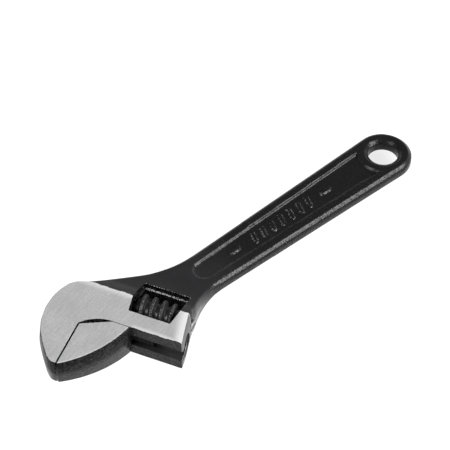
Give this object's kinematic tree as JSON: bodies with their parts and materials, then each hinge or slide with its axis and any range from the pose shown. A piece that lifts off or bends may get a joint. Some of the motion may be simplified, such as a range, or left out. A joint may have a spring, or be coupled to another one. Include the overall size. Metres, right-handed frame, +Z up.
{
  "type": "adjustable wrench",
  "caption": "Adjustable wrench with a forged handle and fixed jaw, a sliding jaw on a round rack, a knurled worm on a slotted pin, a small spring and a hanging hole.",
  "frame": {"origin": "axis of the hanging hole at the middle plane of the forging", "axes": "+X along the handle from the hanging hole to the head, +Y towards the side where the arm and the worm are, +Z up through the thickness"},
  "size_m": [0.1582, 0.0449, 0.0132],
  "materials": {
    "body": "glossy black phosphate over a forged skin, ground bare steel on the head faces",
    "jaw": "ground faces, dark forged edge",
    "worm": "black oxide with worn bright crests",
    "pin": "turned, dark oiled",
    "spring": "drawn wire"
  },
  "bodies": {
    "wrench_body": {"body": "body", "worm_pin": "pin", "worm_spring": "spring"},
    "jaw": {"sliding_jaw": "jaw"},
    "worm": {"worm_knurl": "worm"}
  },
  "joints": [
    {"name": "jaw_slide", "type": "slide", "parent": "wrench_body", "child": "jaw", "axis": [-0.4321, 0.9018, 0], "range_m": [0, 0.0189]},
    {"name": "worm_spin", "type": "hinge", "parent": "wrench_body", "child": "worm", "pos_m": [0.10723, 0.00306, 0], "axis": [-0.4321, 0.9018, 0], "range_deg": [-1945, 0]}
  ],
  "couplings": [
    {"joint": "worm_spin", "follows": "jaw_slide", "rad_per_m": -1795.2}
  ]
}
